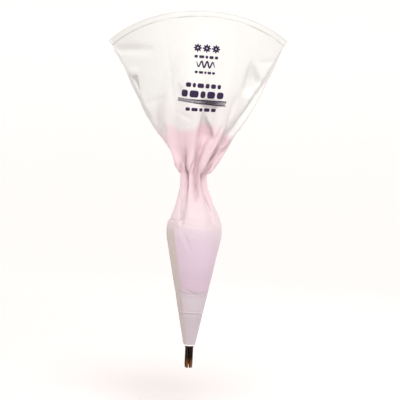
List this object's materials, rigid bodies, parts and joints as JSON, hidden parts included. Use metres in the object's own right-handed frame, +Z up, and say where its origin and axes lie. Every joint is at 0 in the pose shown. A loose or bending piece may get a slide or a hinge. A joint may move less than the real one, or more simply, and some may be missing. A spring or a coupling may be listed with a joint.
{
  "type": "piping bag",
  "caption": "Reusable cotton piping bag, gripped at a gathered neck, fanned open above, filled below, with a steel star nozzle in the tip.",
  "frame": {"origin": "centre of the gathered neck, where a hand grips the bag", "axes": "+Z up towards the mouth, with the nozzle pointing down -Z; X across the fan; -Y is the printed front"},
  "size_m": [0.1898, 0.0738, 0.3712],
  "materials": {
    "coated_cotton": "white cotton twill with a soft coating",
    "binding": "smooth white edge binding",
    "thread": "off-white polyester thread",
    "icing": "soft pink icing, satin",
    "nozzle_steel": "polished stainless steel, slightly darkened"
  },
  "bodies": {
    "bag": {"bag_cone": "coated_cotton", "tip_liner": "coated_cotton", "tip_binding": "binding", "liner_stitching": "thread", "cone_seam": "coated_cotton", "cone_seam_stitching": "thread", "icing_lower": "icing"},
    "neck": {"neck_gather": "coated_cotton", "icing_neck": "icing"},
    "top": {"bag_fan": "coated_cotton", "top_hem": "coated_cotton", "hem_stitching": "thread", "fan_seam": "coated_cotton", "fan_seam_stitching": "thread", "icing_top": "icing"},
    "nozzle_icing": {"icing_plug": "icing"},
    "nozzle": {"nozzle": "nozzle_steel"}
  },
  "joints": [
    {"name": "top_twist", "type": "hinge", "parent": "bag", "child": "neck", "pos_m": [0, 0, 0], "axis": [0, 0, 1], "range_deg": [-160, 160]},
    {"name": "top_tilt", "type": "hinge", "parent": "neck", "child": "top", "pos_m": [0, 0, 0], "axis": [1, 0, 0], "range_deg": [-45, 45], "deforming": ["neck_gather", "icing_neck"]},
    {"name": "nozzle_lift", "type": "slide", "parent": "bag", "child": "nozzle_icing", "axis": [0, 0, 1], "range_m": [0, 0.03], "deforming": ["icing_lower"]},
    {"name": "nozzle_turn", "type": "hinge", "parent": "nozzle_icing", "child": "nozzle", "pos_m": [0, 0, -0.184], "axis": [0, 0, 1], "continuous": true}
  ]
}
